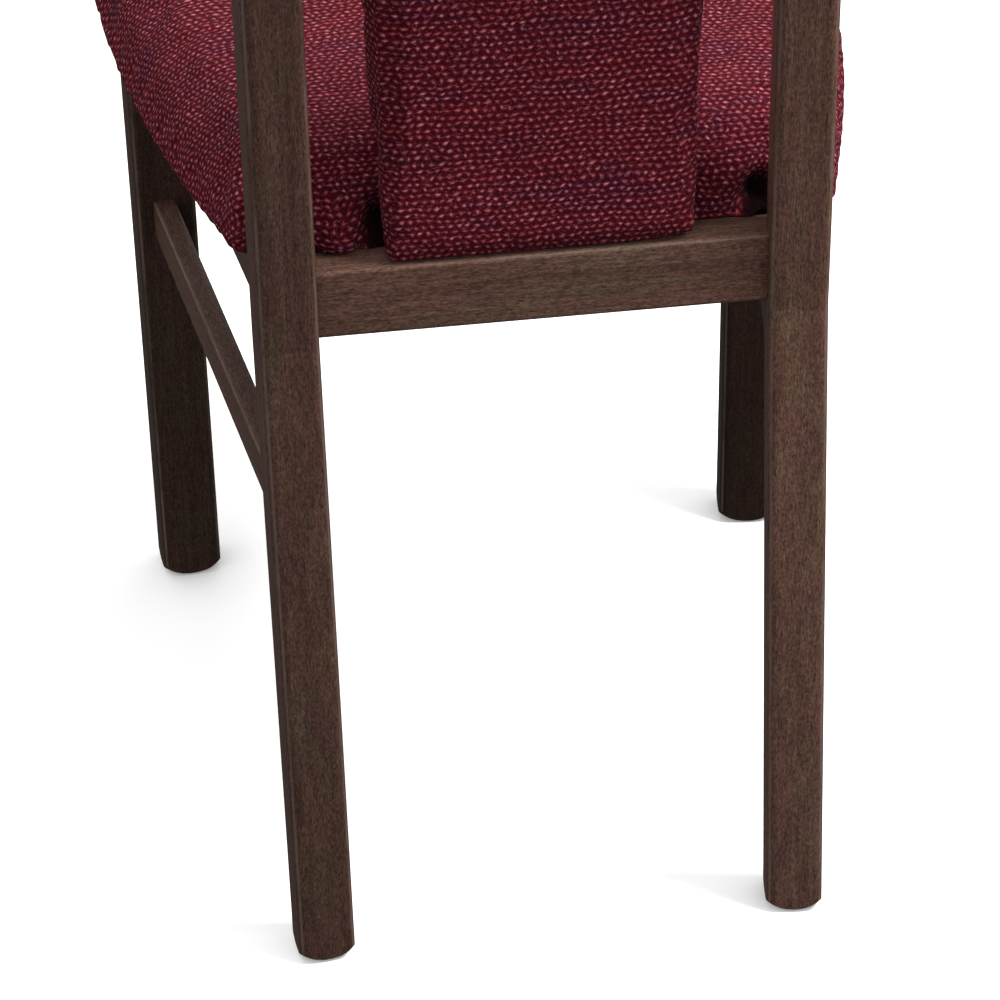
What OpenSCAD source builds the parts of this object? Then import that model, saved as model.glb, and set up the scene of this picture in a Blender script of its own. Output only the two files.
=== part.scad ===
// Hall chair with a stained timber frame, a thick padded seat and a narrow padded back.
// Millimetres. Z is up, the front of the chair faces -Y and the floor is Z = 0.
// The origin is on the floor under the middle of the outer box of the chair.
// Left and right are those of a person sitting in the chair, so left is +X.

/* [Overall] */
// Height of the rear posts, measured up their centre line
post_top = 848; // [810:1:880]
// Height of the top of the seat rails above the floor
rail_top = 429; // [418:1:438]
// Distance between the centres of the two rear posts
post_spacing = 277; // [269:1:290]
// Distance between the centres of the two front legs
leg_spacing = 377; // [365:1:390]
// Distance from the rear post centres forward to the front leg centres
leg_distance = 351; // [335:1:370]

/* [Rear posts] */
// Width of a rear post
post_width = 32.5; // [31:0.5:34]
// Depth of a rear post from front to back
post_depth = 30; // [29:0.5:33]
// Distance each rear foot stands behind the upright part of its post
foot_rake = 45; // [35:1:55]
// Height where the rear posts begin to curve backward
curve_start = 563; // [540:1:600]
// Radius of the backward curve of the rear posts
curve_radius = 1000; // [950:10:1500]

/* [Front legs] */
// Width of a front leg
leg_width = 37.5; // [35:0.5:38]
// Depth of a front leg from front to back
leg_depth = 33; // [32:0.5:38]
// Angle the posts and legs are turned outward, in degrees
turn_out = 6; // [4:0.5:8]
// Radius along the long edges of the posts and legs
edge_radius = 5; // [2:0.5:5.5]
// Radius of the rounding at the four lower corners of each foot
foot_dome = 11; // [9:0.5:12]

/* [Rails] */
// Height of the four seat rails
rail_height = 41; // [38:1:46]
// Thickness of the rear seat rail
rear_rail_thickness = 24; // [22:0.5:25]
// Thickness of the front seat rail
front_rail_thickness = 22; // [20:0.5:23]
// Thickness of the two side seat rails
side_rail_thickness = 20; // [18:0.5:20]
// Height of the two side stretchers
stretcher_height = 26; // [22:1:30]
// Width of the two side stretchers
stretcher_width = 14; // [12:0.5:16]
// Height of the underside of the side stretchers above the floor
stretcher_base = 261; // [200:1:300]
// Height of the crest rail that joins the tops of the rear posts
crest_height = 49; // [40:1:60]
// Thickness of the crest rail
crest_thickness = 22; // [20:0.5:24]
// Radius along the long edges of the rails and stretchers
rail_edge = 2.5; // [1:0.5:4]

/* [Seat cushion] */
// Distance the cushion bulges back between each rear post and the back panel
seat_bulge = 11; // [0:1:12]
// Half the width of the cushion at its back edge
seat_half_rear = 160; // [156:1:166]
// Half the width of the cushion at its widest
seat_half_front = 222; // [216:1:230]
// Distance the cushion overhangs the front legs
seat_overhang = 22; // [15:1:30]
// Forward bow of the front edge of the cushion
seat_bow = 8; // [0:1:14]
// Height of the near upright side of the cushion below its rolled edge
seat_side = 22; // [18:1:26]
// Height of the rolled top of the cushion
seat_roll = 30; // [22:1:36]
// Thickness of the plywood board under the seat foam
seat_board_thickness = 12; // [9:1:15]

/* [Back panel] */
// Width of the padded back panel
panel_width = 172; // [160:1:184]
// Thickness of the thin lower end of the back panel
panel_thin = 18; // [17:0.5:18.5]
// Thickness of the back panel where it is fully padded
panel_thick = 45; // [34:1:52]
// Height where the thick padding of the back begins
padding_start = 498; // [486:1:520]
// Thickness of the curved plywood board in the back panel
back_board_thickness = 10; // [9:0.5:10]

/* [Hardware] */
// Diameter of the 8 mm class dowels in the rails and stretchers
dowel_diameter = 8; // [6:0.5:8]
// Diameter of the single stout dowel in each end of a side rail
stout_dowel_diameter = 10; // [8:0.5:10]
// Diameter of the glide let into each foot
glide_diameter = 14; // [12:0.5:15]
// Height of the glide let into each foot
glide_height = 3; // [2.5:0.5:4]
// Distance each glide stands out below its foot
glide_proud = 0.8; // [0.5:0.1:1.5]

/* [Hidden] */
$fn = 96;
skin = 1.5;              // thickness of the upholstery fabric
fit = 0.05;              // radial clearance of pins and screws in their holes
touch = 0.1;             // overshoot that keeps cutting solids clear of the faces they cut
rail_base = rail_top - rail_height;
rail_setback = 3;        // rear face of the rear rail behind the post centre line
rake_angle = atan(foot_rake / rail_base);
corner_reach = (post_width / 2 - edge_radius) * sin(turn_out)
             + (post_depth / 2 - edge_radius) * cos(turn_out) + edge_radius;
foot_back = foot_rake * (1 - glide_proud / rail_base);
foot_reach = foot_back + corner_reach / cos(rake_angle);
top_angle = asin((post_top - curve_start) / curve_radius);
top_reach = curve_radius - (curve_radius - corner_reach) * cos(top_angle);
rear_reach = max(foot_reach, top_reach);
front_reach = leg_distance + leg_depth / 2 + seat_overhang;

post_x = post_spacing / 2;
leg_x = leg_spacing / 2;
post_y = round(5 * (front_reach - rear_reach)) / 10;
leg_y = post_y - leg_distance;
side_angle = atan((leg_x - post_x) / leg_distance);
side_length = leg_distance / cos(side_angle);
side_outer = 7;          // outer face of a side rail from the line joining post and leg
side_inner = side_outer - side_rail_thickness;
joint_lap = 3;           // how far a rail runs on before the post or leg trims it

rear_rail_front = post_y + rail_setback - rear_rail_thickness;
front_rail_rear = leg_y + front_rail_thickness / 2 - 1.5;
stretcher_offset = 2;    // stretcher centre outward of the line joining post and leg
stretcher_mid = stretcher_base + stretcher_height / 2;
stretcher_shift = (rail_base - stretcher_mid) * tan(rake_angle);

dowel_r = dowel_diameter / 2 - fit;
dowel_hole = dowel_diameter / 2;
dowel_half = 17;         // half the length of a rail dowel
dowel_low = rail_base + 8;
dowel_high = rail_top - 8;
rear_dowel_y = -7;       // rear rail dowels, forward of the post centre line
stout_r = stout_dowel_diameter / 2 - fit;
stout_hole = stout_dowel_diameter / 2;
stout_half = 18;
stretcher_dowel_half = 14;

crest_top = post_top - 4;
crest_base = crest_top - crest_height;
crest_front = -15;       // front face of the crest rail from the post centre line
crest_dowel_y = -4;
crest_dowel_half = 15;

block_leg = 52;          // length of a corner block along each rail
block_clip = 14;         // cut-off inner corner of a corner block
block_height = 32;
block_screw_at = 40;
seat_screw_at = 21;
dome_clear = 0.4;         // keeps the dome of a foot just outside its rounded corners
screw_shank = 2;
screw_head = 4;
screw_head_height = 2.5;
screw_seat = 7;          // block left between the rail and the screw head
screw_bite = 14;
seat_screw_bite = 8.5;

seat_rear = rear_rail_front + 2;
seat_front = leg_y - leg_depth / 2 - seat_overhang + seat_bow;
seat_depth = seat_rear - seat_front;
seat_rear_corner = 14;
seat_front_corner = 38;
seat_crown_inset = 58;   // how far in the rolled top reaches its full height
seat_roll_steps = 6;
gap_inner = panel_width / 2 + 2;
gap_outer = post_x - post_width / 2 - 3;
board_inset = 17;
margin_inset = 35;       // width of the fabric turned under the seat board
dust_gap = 0.2;
dust_thickness = 0.8;

panel_base = rail_top + 1;
panel_top = crest_base - 1;
panel_half = panel_width / 2;
rear_pad = 3.5;
board_back = -skin - rear_pad;
board_front = board_back - back_board_thickness;
back_board_half = panel_half - 9;
back_board_base = panel_base + 7;
back_board_top = panel_top - 5;
back_pin_r = 3 - fit;
back_pin_hole = 3;
back_pin_x = 50;
back_pin_y = (board_back + board_front) / 2;
back_pin_half = 20;

nail_r = 1.5;
nail_length = 16;

// ---------- shared sections and paths ----------

module round_box_section(x0, x1, y0, y1, r) {
  translate([x0 + r, y0]) square([x1 - x0 - 2 * r, y1 - y0]);
  translate([x0, y0 + r]) square([x1 - x0, y1 - y0 - 2 * r]);
  for (x = [x0 + r, x1 - r], y = [y0 + r, y1 - r]) translate([x, y]) circle(r);
}

// A bar across the chair, and a bar along local Y, each with rounded long edges.
module cross_bar(half, y0, thickness, z0, height) {
  translate([-half, 0, 0]) rotate([90, 0, 90]) linear_extrude(2 * half)
    round_box_section(y0, y0 + thickness, z0, z0 + height, rail_edge);
}

module side_bar(x0, width, y0, y1, z0, height) {
  translate([0, y1, 0]) rotate([90, 0, 0]) linear_extrude(y1 - y0)
    round_box_section(x0, x0 + width, z0, z0 + height, rail_edge);
}

module timber_section(w, d) {
  rotate(turn_out) round_box_section(-w / 2, w / 2, -d / 2, d / 2, edge_radius);
}

// Sweeps a flat section up the backward curve between two heights.
module curve_sweep(z0, z1) {
  a0 = asin((z0 - curve_start) / curve_radius);
  a1 = asin((z1 - curve_start) / curve_radius);
  translate([0, post_y + curve_radius, curve_start])
    mirror([0, 1, 0]) rotate([90, 0, 90]) rotate([0, 0, a0])
      rotate_extrude(angle = a1 - a0, $fn = 360)
        translate([curve_radius, 0]) rotate(90) children();
}

// Sweeps a flat section straight up to the start of the curve, then round it.
module path_sweep(z0, z1) {
  translate([0, post_y, z0]) linear_extrude(curve_start - z0) children();
  curve_sweep(curve_start, z1) children();
}

// Moves to a point on the centre line of the backward curve.
module on_curve(z) {
  a = asin((z - curve_start) / curve_radius);
  translate([0, post_y + curve_radius * (1 - cos(a)), z]) rotate([-a, 0, 0]) children();
}

// Local -Y runs from the left rear post to the left front leg.
module along_side() {
  translate([post_x, post_y, 0]) rotate([0, 0, side_angle]) children();
}

module both_sides() {
  children();
  mirror([1, 0, 0]) children();
}

// Rounds the four lower corners of a foot to a dome wide enough for a post that leans.
module foot_domer(w, d, lean) {
  shift = foot_dome * tan(lean) / 2;
  corner = norm([w / 2 - edge_radius, d / 2 - edge_radius]) + edge_radius;
  flat = corner + shift + dome_clear - foot_dome;
  translate([0, -shift, 0]) rotate_extrude() difference() {
    translate([flat, -foot_dome]) square([2 * foot_dome, 2 * foot_dome]);
    translate([flat, foot_dome]) circle(foot_dome);
  }
}

// ---------- rear posts and front legs ----------

module post_body() {
  translate([post_x, post_y, rail_base])
    linear_extrude(curve_start - rail_base) timber_section(post_width, post_depth);
  translate([post_x, 0, 0]) curve_sweep(curve_start, post_top)
    timber_section(post_width, post_depth);
  difference() {
    translate([post_x, post_y, rail_base]) rotate([rake_angle, 0, 0])
      translate([0, 0, -rail_top]) linear_extrude(2 * rail_height + rail_top)
        timber_section(post_width, post_depth * cos(rake_angle));
    translate([post_x, post_y, -rail_top + glide_proud])
      cube([4 * post_width, 8 * post_width, 2 * rail_top], center = true);
    translate([post_x, post_y, rail_base + 2 * rail_height])
      cube([4 * post_width, 4 * post_width, 4 * rail_height], center = true);
    translate([post_x, post_y + foot_back, glide_proud])
      foot_domer(post_width, post_depth, rake_angle);
  }
}

module leg_body() {
  difference() {
    translate([leg_x, leg_y, glide_proud]) linear_extrude(rail_top - glide_proud)
      timber_section(leg_width, leg_depth);
    translate([leg_x, leg_y, glide_proud]) foot_domer(leg_width, leg_depth, 0);
  }
}

// Plain lengths of post and leg that trim the ends of the rails between them.
module post_trim() {
  translate([post_x, post_y, rail_base - joint_lap])
    linear_extrude(rail_height + 2 * joint_lap) timber_section(post_width, post_depth);
}

module leg_trim() {
  translate([leg_x, leg_y, rail_base - joint_lap])
    linear_extrude(rail_height + 2 * joint_lap) timber_section(leg_width, leg_depth);
}

module post_top_trim() {
  translate([post_x, 0, 0]) curve_sweep(crest_base - joint_lap, post_top + joint_lap)
    timber_section(post_width, post_depth);
}

module left_post() {
  difference() {
    post_body();
    rear_rail_pins(dowel_hole, touch);
    stout_pins(stout_hole, touch);
    stretcher_pins(dowel_hole, touch);
    crest_pins(dowel_hole, touch);
    nail_pins(nail_r + fit);
    glide_recess(post_x, post_y + foot_back);
  }
}

module left_leg() {
  difference() {
    leg_body();
    front_rail_pins(dowel_hole, touch);
    stout_pins(stout_hole, touch);
    stretcher_pins(dowel_hole, touch);
    nail_pins(nail_r + fit);
    glide_recess(leg_x, leg_y);
  }
}

module rear_post_left() { color("#4a3b33") left_post(); }
module rear_post_right() { color("#4a3b33") mirror([1, 0, 0]) left_post(); }
module front_leg_left() { color("#463830") left_leg(); }
module front_leg_right() { color("#463830") mirror([1, 0, 0]) left_leg(); }

// ---------- pins shared by the parts they join ----------

module cross_pin(r, half) {
  rotate([0, 90, 0]) cylinder(h = 2 * half, r = r, center = true);
}

module rear_rail_pins(r, extra) {
  for (z = [dowel_low, dowel_high])
    translate([post_x - post_width / 2, post_y + rear_dowel_y, z])
      cross_pin(r, dowel_half + extra);
}

module front_rail_pins(r, extra) {
  for (z = [dowel_low, dowel_high])
    translate([leg_x - leg_width / 2, leg_y - 1.5, z]) cross_pin(r, dowel_half + extra);
}

module side_pin(r, x, y, z, half) {
  translate([x, y, z]) rotate([90, 0, 0]) cylinder(h = 2 * half, r = r, center = true);
}

module stout_pins(r, extra) {
  x = (side_outer + side_inner) / 2;
  z = (rail_base + rail_top) / 2;
  along_side() {
    side_pin(r, x, -post_depth / 2, z, stout_half + extra);
    side_pin(r, x, leg_depth / 2 - side_length, z, stout_half + extra);
  }
}

module stretcher_pins(r, extra) {
  along_side() {
    side_pin(r, stretcher_offset, stretcher_shift - post_depth / 2, stretcher_mid,
             stretcher_dowel_half + extra);
    side_pin(r, stretcher_offset, leg_depth / 2 - side_length, stretcher_mid,
             stretcher_dowel_half + extra);
  }
}

module crest_pins(r, extra) {
  for (z = [crest_base + 13, crest_top - 13])
    on_curve(z) translate([post_x - post_width / 2, crest_dowel_y, 0])
      cross_pin(r, crest_dowel_half + extra);
}

module back_pins(r, extra) {
  translate([back_pin_x, post_y + back_pin_y, panel_base])
    cylinder(h = 2 * (back_pin_half + extra), r = r, center = true);
  on_curve(panel_top) translate([back_pin_x, back_pin_y, 0])
    cylinder(h = 2 * (back_pin_half + extra), r = r, center = true);
}

module nail_pins(r) {
  for (p = [[post_x, post_y + foot_back], [leg_x, leg_y]])
    translate([p[0], p[1], glide_height - 1]) cylinder(h = nail_length, r = r);
}

module glide_recess(x, y) {
  translate([x, y, -touch]) cylinder(h = glide_height + touch, d = glide_diameter + 2 * fit);
}

module rail_dowels() {
  color("#c9a878") both_sides() {
    rear_rail_pins(dowel_r, 0);
    front_rail_pins(dowel_r, 0);
  }
}

module side_rail_dowels() { color("#c9a878") both_sides() stout_pins(stout_r, 0); }
module stretcher_dowels() { color("#c9a878") both_sides() stretcher_pins(dowel_r, 0); }
module crest_dowels() { color("#c9a878") both_sides() crest_pins(dowel_r, 0); }
module back_dowels() { color("#c9a878") both_sides() back_pins(back_pin_r, 0); }

// ---------- seat rails, stretchers and crest rail ----------

module rear_seat_rail() {
  half = post_x - post_width / 2 + joint_lap;
  color("#4d3d34") difference() {
    cross_bar(half, rear_rail_front, rear_rail_thickness, rail_base, rail_height);
    both_sides() {
      post_trim();
      rear_rail_pins(dowel_hole, touch);
      back_pins(back_pin_hole, touch);
      corner_block_pins(rear_corner(), screw_shank + fit);
    }
  }
}

module front_seat_rail() {
  half = leg_x - leg_width / 2 + joint_lap;
  color("#4d3d34") difference() {
    cross_bar(half, front_rail_rear - front_rail_thickness, front_rail_thickness,
              rail_base, rail_height);
    both_sides() {
      leg_trim();
      front_rail_pins(dowel_hole, touch);
      corner_block_pins(front_corner(), screw_shank + fit);
    }
  }
}

module left_side_rail() {
  difference() {
    along_side()
      side_bar(side_inner, side_rail_thickness, -side_length, 0, rail_base, rail_height);
    post_trim();
    leg_trim();
    stout_pins(stout_hole, touch);
    corner_block_pins(rear_corner(), screw_shank + fit);
    corner_block_pins(front_corner(), screw_shank + fit);
  }
}

module left_stretcher() {
  difference() {
    along_side()
      side_bar(stretcher_offset - stretcher_width / 2, stretcher_width,
               -side_length, post_depth / 4, stretcher_base, stretcher_height);
    post_body();
    leg_body();
    stretcher_pins(dowel_hole, touch);
  }
}

module side_rail_left() { color("#4d3d34") left_side_rail(); }
module side_rail_right() { color("#4d3d34") mirror([1, 0, 0]) left_side_rail(); }
module stretcher_left() { color("#5a493d") left_stretcher(); }
module stretcher_right() { color("#5a493d") mirror([1, 0, 0]) left_stretcher(); }

module crest_rail() {
  half = post_x - post_width / 2 + joint_lap;
  color("#4d3d34") difference() {
    curve_sweep(crest_base, crest_top)
      round_box_section(-half, half, crest_front, crest_front + crest_thickness,
                        rail_edge);
    both_sides() {
      post_top_trim();
      crest_pins(dowel_hole, touch);
      back_pins(back_pin_hole, touch);
    }
  }
}

// ---------- corner blocks and their screws ----------

// A corner is [inner corner of the two rails, direction along the cross rail,
// direction along the side rail, normal of the cross rail, normal of the side rail].
function side_line_x(y) =
  post_x + side_inner / cos(side_angle) + (post_y - y) * tan(side_angle);
function rear_corner() = [
  [side_line_x(rear_rail_front), rear_rail_front],
  [-1, 0], [sin(side_angle), -cos(side_angle)],
  [0, -1], [-cos(side_angle), -sin(side_angle)]
];
function front_corner() = [
  [side_line_x(front_rail_rear), front_rail_rear],
  [-1, 0], [-sin(side_angle), cos(side_angle)],
  [0, 1], [-cos(side_angle), -sin(side_angle)]
];

module screw_line(start, normal, r, head_r, head_length) {
  translate([start[0], start[1], rail_top - block_height / 2])
    rotate([0, 0, atan2(normal[1], normal[0])]) rotate([0, 90, 0]) {
      translate([0, 0, -screw_bite]) cylinder(h = screw_bite + screw_seat, r = r);
      translate([0, 0, screw_seat]) cylinder(h = head_length, r = head_r);
    }
}

// Screws through a block into its two rails, or the holes for them.
module corner_block_pins(c, r, head_r = screw_head + 0.5, head_length = block_leg / 4) {
  screw_line(c[0] + block_screw_at * c[1], c[3], r, head_r, head_length);
  screw_line(c[0] + block_screw_at * c[2], c[4], r, head_r, head_length);
}

module seat_screw(c, r, low, high) {
  p = c[0] + seat_screw_at * (c[1] + c[2]);
  translate([p[0], p[1], low]) cylinder(h = high - low, r = r);
}

module seat_screw_holes() {
  both_sides() {
    seat_screw(rear_corner(), screw_shank + fit, rail_base, seat_screw_tip() + fit);
    seat_screw(front_corner(), screw_shank + fit, rail_base, seat_screw_tip() + fit);
  }
}

function seat_screw_tip() = rail_top + skin + seat_screw_bite;

module corner_block(c) {
  difference() {
    translate([0, 0, rail_top - block_height]) linear_extrude(block_height) polygon([
      c[0] + block_clip * c[1],
      c[0] + block_leg * c[1],
      c[0] + block_leg * c[2],
      c[0] + block_clip * c[2]
    ]);
    corner_block_pins(c, screw_shank + fit);
    seat_screw(c, screw_shank + fit, rail_base, rail_top + 1);
  }
}

module corner_block_rear_left() { color("#a98a63") corner_block(rear_corner()); }
module corner_block_rear_right() {
  color("#a98a63") mirror([1, 0, 0]) corner_block(rear_corner());
}
module corner_block_front_left() { color("#a98a63") corner_block(front_corner()); }
module corner_block_front_right() {
  color("#a98a63") mirror([1, 0, 0]) corner_block(front_corner());
}

module corner_block_screws() {
  color("#b9bcc0") both_sides() for (c = [rear_corner(), front_corner()])
    corner_block_pins(c, screw_shank, screw_head, screw_head_height);
}

module seat_screws() {
  underside = rail_top - block_height;
  color("#b9bcc0") both_sides() for (c = [rear_corner(), front_corner()]) {
    seat_screw(c, screw_shank, underside, seat_screw_tip());
    seat_screw(c, screw_head, underside - screw_head_height, underside);
  }
}

// ---------- seat ----------

function seat_share(y) = (seat_rear - y) / seat_depth;
function seat_half(y) = seat_half_rear
  + (seat_half_front - seat_half_rear) * (1 - pow(1 - seat_share(y), 2));

// How far the back edge swells into the gap beside the back panel.
function rear_swell(x, inset) = seat_bulge * max(0, 1 - inset / 12)
  * pow(sin(180 * (x - gap_inner) / (gap_outer - gap_inner)), 2);

// Half of the seat outline on +X, from the middle of the back to the middle of the front.
function seat_edge(inset) =
  let (
    r = max(seat_rear_corner - inset, 3),
    f = max(seat_front_corner - inset, 5),
    ry = seat_rear - inset - r,
    fy = seat_front + inset + f,
    rx = seat_half(ry) - inset - r,
    fx = seat_half(fy) - inset - f,
    arc_steps = 6,
    side_steps = 12,
    front_steps = 6,
    gap_steps = 8
  )
  concat(
    [[0, seat_rear - inset]],
    [for (k = [0 : gap_steps]) let (x = gap_inner + (gap_outer - gap_inner) * k / gap_steps)
      [x, seat_rear - inset + rear_swell(x, inset)]],
    [for (k = [0 : arc_steps]) let (a = 90 - 90 * k / arc_steps)
      [rx + r * cos(a), ry + r * sin(a)]],
    [for (k = [1 : side_steps - 1]) let (y = ry + (fy - ry) * k / side_steps)
      [seat_half(y) - inset, y]],
    [for (k = [0 : arc_steps]) let (a = -90 * k / arc_steps)
      [fx + f * cos(a), fy + f * sin(a)]],
    [for (k = [1 : front_steps]) let (x = fx * (1 - k / front_steps))
      [x, seat_front + inset - seat_bow * (1 - pow(x / fx, 2))]]
  );

function mirrored_back(points) =
  [for (k = [len(points) - 2 : -1 : 1]) [-points[k][0], points[k][1]]];

function seat_ring(inset) =
  let (edge = seat_edge(inset)) concat(edge, mirrored_back(edge));

module seat_outline(inset) { polygon(seat_ring(inset)); }

// Levels of the cushion from its underside to its crown, each [height, inset].
function cushion_levels(shrink) = concat(
  [[rail_top + shrink, shrink + 3], [rail_top + 7, shrink]],
  [for (k = [0 : seat_roll_steps]) let (a = 90 * k / seat_roll_steps)
    [rail_top + seat_side + (seat_roll - shrink) * sin(a),
     shrink + seat_crown_inset * (1 - cos(a))]]
);

// The cushion shape, drawn in from its outer face by the given amount.
module cushion(shrink) {
  levels = cushion_levels(shrink);
  n = len(seat_ring(0));
  top = n * (len(levels) - 1);
  points = [for (level = levels) for (p = seat_ring(level[1])) [p[0], p[1], level[0]]];
  sides = [
    for (j = [0 : len(levels) - 2], k = [0 : n - 1])
      let (a = j * n + k, b = j * n + (k + 1) % n)
        for (face = [[a, b, b + n], [a, b + n, a + n]]) face
  ];
  base_face = [for (k = [n - 1 : -1 : 0]) k];
  top_face = [for (k = [0 : n - 1]) top + k];
  polyhedron(points, concat([base_face], sides, [top_face]));
}

module seat_board_body(extra) {
  translate([0, 0, rail_top + skin]) linear_extrude(seat_board_thickness + extra)
    seat_outline(board_inset);
}

module seat_board() {
  color("#c2a274") difference() {
    seat_board_body(0);
    seat_screw_holes();
  }
}

module seat_foam() {
  color("#e6dcae") difference() {
    cushion(skin + 0.05);
    translate([0, 0, -touch]) seat_board_body(touch);
  }
}

module seat_cover() {
  color("#7d1f31") difference() {
    cushion(0);
    cushion(skin);
    translate([0, 0, rail_top - skin]) linear_extrude(3 * skin) seat_outline(margin_inset);
    seat_screw_holes();
  }
}

module seat_dust_cover() {
  color("#26262a") difference() {
    translate([0, 0, rail_top + skin - dust_thickness]) linear_extrude(dust_thickness)
      seat_outline(margin_inset + dust_gap);
    seat_screw_holes();
  }
}

// ---------- back panel ----------

// The panel outline at a given distance in from its outer face.
module panel_body(shrink) {
  half = panel_half - shrink;
  path_sweep(panel_base + shrink, panel_top - shrink)
    round_box_section(-half, half, shrink - panel_thin, -shrink, 5 - shrink);
  path_sweep(padding_start + shrink, panel_top - shrink)
    round_box_section(-half, half, shrink - panel_thick, -shrink, 5 - shrink);
}

module back_board_body() {
  path_sweep(back_board_base, back_board_top)
    translate([-back_board_half, board_front])
      square([2 * back_board_half, back_board_thickness]);
}

module rear_pad_body() {
  path_sweep(back_board_base, back_board_top)
    translate([-back_board_half, board_back])
      square([2 * back_board_half, rear_pad]);
}

module back_board() {
  color("#c2a274") difference() {
    back_board_body();
    both_sides() back_pins(back_pin_hole, touch);
  }
}

module back_rear_pad() { color("#e6dcae") rear_pad_body(); }

module back_foam() {
  color("#e6dcae") difference() {
    panel_body(skin);
    back_board_body();
    rear_pad_body();
    both_sides() back_pins(back_pin_hole, touch);
  }
}

module back_cover() {
  color("#7d1f31") difference() {
    panel_body(0);
    panel_body(skin);
    both_sides() back_pins(back_pin_hole, touch);
  }
}

// ---------- glides ----------

module glide(x, y) {
  translate([x, y, 0]) difference() {
    cylinder(h = glide_height, d = glide_diameter);
    translate([0, 0, glide_height - 1]) cylinder(h = 2, r = nail_r + fit);
  }
}

module glide_rear_left() { color("#2b2724") glide(post_x, post_y + foot_back); }
module glide_rear_right() { color("#2b2724") glide(-post_x, post_y + foot_back); }
module glide_front_left() { color("#2b2724") glide(leg_x, leg_y); }
module glide_front_right() { color("#2b2724") glide(-leg_x, leg_y); }
module glide_nails() { color("#b9bcc0") both_sides() nail_pins(nail_r); }

rear_post_left();
rear_post_right();
front_leg_left();
front_leg_right();
rear_seat_rail();
front_seat_rail();
side_rail_left();
side_rail_right();
stretcher_left();
stretcher_right();
crest_rail();
corner_block_rear_left();
corner_block_rear_right();
corner_block_front_left();
corner_block_front_right();
rail_dowels();
side_rail_dowels();
stretcher_dowels();
crest_dowels();
back_dowels();
corner_block_screws();
seat_screws();
seat_board();
seat_foam();
seat_cover();
seat_dust_cover();
back_board();
back_foam();
back_rear_pad();
back_cover();
glide_rear_left();
glide_rear_right();
glide_front_left();
glide_front_right();
glide_nails();
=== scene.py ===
"""Looks of a hall chair: a dark stained timber frame, a thick woven seat and a narrow padded back.

Metres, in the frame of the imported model: Z is up, the front of the chair faces -Y,
and the floor is Z = 0. Left and right are those of a person sitting in the chair.
"""
import math

import bpy
import numpy as np
from mathutils import Matrix, Vector, noise


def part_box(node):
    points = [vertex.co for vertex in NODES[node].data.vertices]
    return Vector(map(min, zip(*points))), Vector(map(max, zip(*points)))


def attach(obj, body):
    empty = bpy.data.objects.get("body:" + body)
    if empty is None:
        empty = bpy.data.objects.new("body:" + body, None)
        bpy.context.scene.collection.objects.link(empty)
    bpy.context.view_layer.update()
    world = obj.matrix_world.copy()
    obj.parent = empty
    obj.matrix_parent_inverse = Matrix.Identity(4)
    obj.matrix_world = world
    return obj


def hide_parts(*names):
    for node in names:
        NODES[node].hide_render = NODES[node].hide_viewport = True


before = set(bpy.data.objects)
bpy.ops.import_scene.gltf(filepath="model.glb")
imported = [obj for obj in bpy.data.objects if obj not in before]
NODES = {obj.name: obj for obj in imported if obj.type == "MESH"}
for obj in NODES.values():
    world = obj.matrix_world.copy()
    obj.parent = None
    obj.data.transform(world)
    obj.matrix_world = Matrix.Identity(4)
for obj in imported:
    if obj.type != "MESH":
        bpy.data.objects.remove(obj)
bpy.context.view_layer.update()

UP = Vector((0, 0, 1))
MM = 0.001

# ---------- sizes, from the frame and from the design ----------

RAIL_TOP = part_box("rear_seat_rail")[1].z
TURN_OUT = math.radians(6)           # posts and legs, about their own length
SIDE_TILT = math.radians(8.11)       # side rails and stretchers, from the Y axis

SEAT_LOW, SEAT_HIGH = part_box("seat_cover")
SEAT_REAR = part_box("rear_seat_rail")[0].y + 2 * MM
LOWEST_REAR = SEAT_REAR - 0.6 * MM   # the lower rear edge stays at least this far back
SEAT_HALF_REAR = 160 * MM
SEAT_HALF_FRONT = SEAT_HIGH.x
SEAT_BOW = 8 * MM
SEAT_FRONT = SEAT_LOW.y + SEAT_BOW
SEAT_REAR_CORNER = 14 * MM
SEAT_FRONT_CORNER = 38 * MM
SEAT_SIDE = 22 * MM                  # near upright side below the roll
SEAT_ROLL = 30 * MM                  # height of the roll
SEAT_ROLL_IN = 58 * MM               # how far in the roll reaches
SEAT_DOME = 4 * MM                   # extra height in the middle of the seat
SEAT_HEM = 35 * MM                   # cloth turned under the seat
SEAT_VOXEL = 4 * MM
SEAT_SHRINK = 2 * MM                 # drawn in before it swells
SEAT_SWELL = 4.5 * MM                # the most that the simulation may move a point

BULGE = 10 * MM                      # how far the rear edge stands out beside the panel
BULGE_LEFT_AT = 11 * MM              # height of the bulge above the rail, left and right
BULGE_RIGHT_AT = 27 * MM
BULGE_SPREAD = 17 * MM
TUCK = 17 * MM                       # how deep the two hollows of the rear edge are
TUCK_AT = 10 * MM
TUCK_SPREAD = 13 * MM
TUCK_LIP = 5 * MM                    # how far the floor of a hollow comes back over the rail
TUCK_LIP_BY_POST = 1 * MM
PRESSED = 0.9 * MM                   # how far the rear edge stands out where it is not bulging

POST_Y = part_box("rear_seat_rail")[0].y + 21 * MM     # the posts' centre line above the seat
POST_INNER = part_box("rear_post_left")[0].x
CURVE_START = 563 * MM               # height at which the posts start to curve back
CURVE_RADIUS = 1.0

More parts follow.
